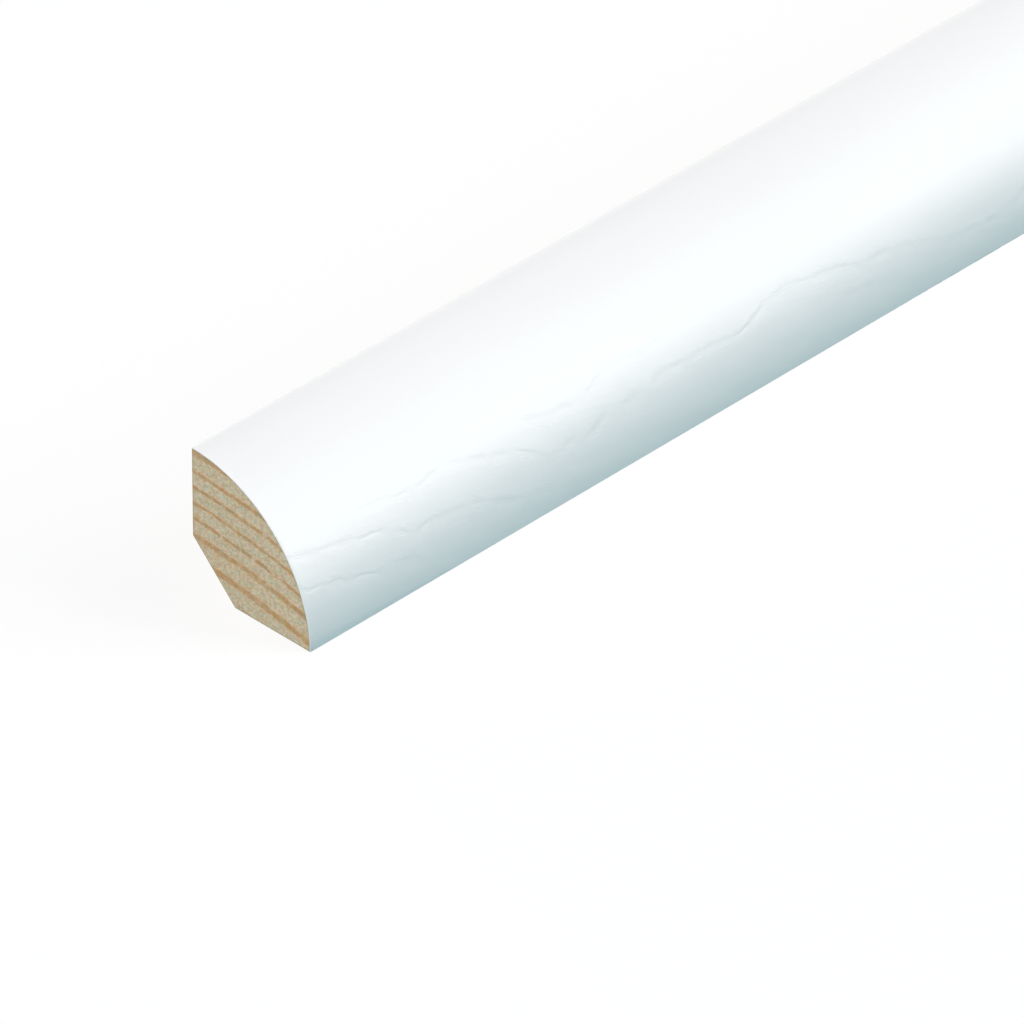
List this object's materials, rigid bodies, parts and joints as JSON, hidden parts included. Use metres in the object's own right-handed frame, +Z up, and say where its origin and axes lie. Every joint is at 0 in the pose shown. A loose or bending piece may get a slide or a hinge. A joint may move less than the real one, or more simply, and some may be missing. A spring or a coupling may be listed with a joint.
{
  "type": "quarter round moulding",
  "caption": "Straight length of quarter round moulding: white quarter-circle face, flat wall and floor faces and a relieved back corner; covers the joint between wall and floor.",
  "frame": {"origin": "middle of the length, on the floor plane, half-way between the wall plane and the toe of the round face", "axes": "+X along the length, +Y towards the wall that the moulding stands against, +Z up from the floor; the round face looks towards -Y and up"},
  "size_m": [2.4, 0.014, 0.014],
  "materials": {
    "white_faced_pine": "satin white finish on the round face, bare planed pine on the wall, floor and relief faces, sawn end grain at both ends"
  },
  "bodies": {
    "root": {"quarter_round": "white_faced_pine"}
  },
  "joints": []
}
